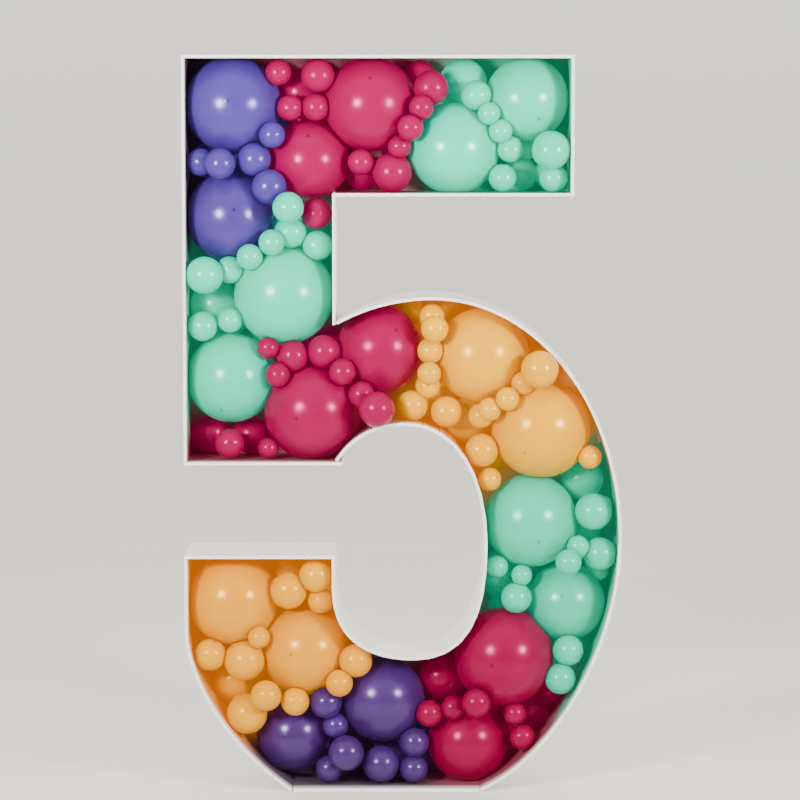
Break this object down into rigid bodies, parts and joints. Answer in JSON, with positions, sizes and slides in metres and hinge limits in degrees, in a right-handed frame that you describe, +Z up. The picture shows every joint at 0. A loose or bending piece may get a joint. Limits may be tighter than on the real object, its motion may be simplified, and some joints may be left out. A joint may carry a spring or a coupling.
{
  "type": "balloon mosaic numeral",
  "caption": "Free-standing figure five, an open tray of white foam board packed with tied latex balloons in purple, magenta, mint and apricot.",
  "frame": {"origin": "on the floor, in the middle of the figure's width and of its walls' depth, on the foot it stands on", "axes": "+Z up along the figure's height, +X to the right as seen from the open front, -Y out of the open front"},
  "size_m": [0.724, 0.1883, 1.22],
  "materials": {
    "foam_board": "white foam-core board, smooth matt paper faces and cut foam edges",
    "purple_latex": "glossy purple balloon latex",
    "magenta_latex": "glossy magenta balloon latex",
    "mint_latex": "glossy mint balloon latex",
    "apricot_latex": "glossy apricot balloon latex"
  },
  "bodies": {
    "root": {"back_panel": "foam_board", "top_wall": "foam_board", "bar_end_wall": "foam_board", "bar_underside_wall": "foam_board", "notch_wall": "foam_board", "upper_bowl_wall": "foam_board", "lower_bowl_wall": "foam_board", "base_wall": "foam_board", "tail_wall": "foam_board", "tail_top_wall": "foam_board", "counter_wall": "foam_board", "stem_bottom_wall": "foam_board", "left_wall": "foam_board", "purple_corner_large_1": "purple_latex", "purple_corner_large_2": "purple_latex", "purple_corner_bunch_1": "purple_latex", "magenta_bar_large_1": "magenta_latex", "magenta_bar_large_2": "magenta_latex", "magenta_bar_bunch_1": "magenta_latex", "magenta_bar_bunch_2": "magenta_latex", "magenta_bar_bunch_3": "magenta_latex", "magenta_bar_bunch_4": "magenta_latex", "mint_bar_end_large_1": "mint_latex", "mint_bar_end_large_2": "mint_latex", "mint_bar_end_bunch_1": "mint_latex", "mint_bar_end_bunch_2": "mint_latex", "mint_stem_large_1": "mint_latex", "mint_stem_large_2": "mint_latex", "mint_stem_bunch_1": "mint_latex", "mint_stem_bunch_2": "mint_latex", "magenta_stem_foot_large_1": "magenta_latex", "magenta_stem_foot_large_2": "magenta_latex", "magenta_stem_foot_bunch_1": "magenta_latex", "magenta_stem_foot_bunch_2": "magenta_latex", "apricot_bowl_large_1": "apricot_latex", "apricot_bowl_large_2": "apricot_latex", "apricot_bowl_bunch_1": "apricot_latex", "apricot_bowl_bunch_2": "apricot_latex", "apricot_bowl_bunch_3": "apricot_latex", "apricot_bowl_bunch_4": "apricot_latex", "mint_bowl_large_1": "mint_latex", "mint_bowl_large_2": "mint_latex", "mint_bowl_bunch_1": "mint_latex", "mint_bowl_bunch_2": "mint_latex", "mint_bowl_bunch_3": "mint_latex", "mint_bowl_bunch_4": "mint_latex", "magenta_bowl_foot_large_1": "magenta_latex", "magenta_bowl_foot_large_2": "magenta_latex", "magenta_bowl_foot_bunch_1": "magenta_latex", "magenta_bowl_foot_bunch_2": "magenta_latex", "purple_base_large_1": "purple_latex", "purple_base_large_2": "purple_latex", "purple_base_bunch_1": "purple_latex", "purple_base_bunch_2": "purple_latex", "apricot_tail_large_1": "apricot_latex", "apricot_tail_large_2": "apricot_latex", "apricot_tail_bunch_1": "apricot_latex", "apricot_tail_bunch_2": "apricot_latex", "apricot_tail_bunch_3": "apricot_latex", "apricot_tail_bunch_4": "apricot_latex"}
  },
  "joints": []
}
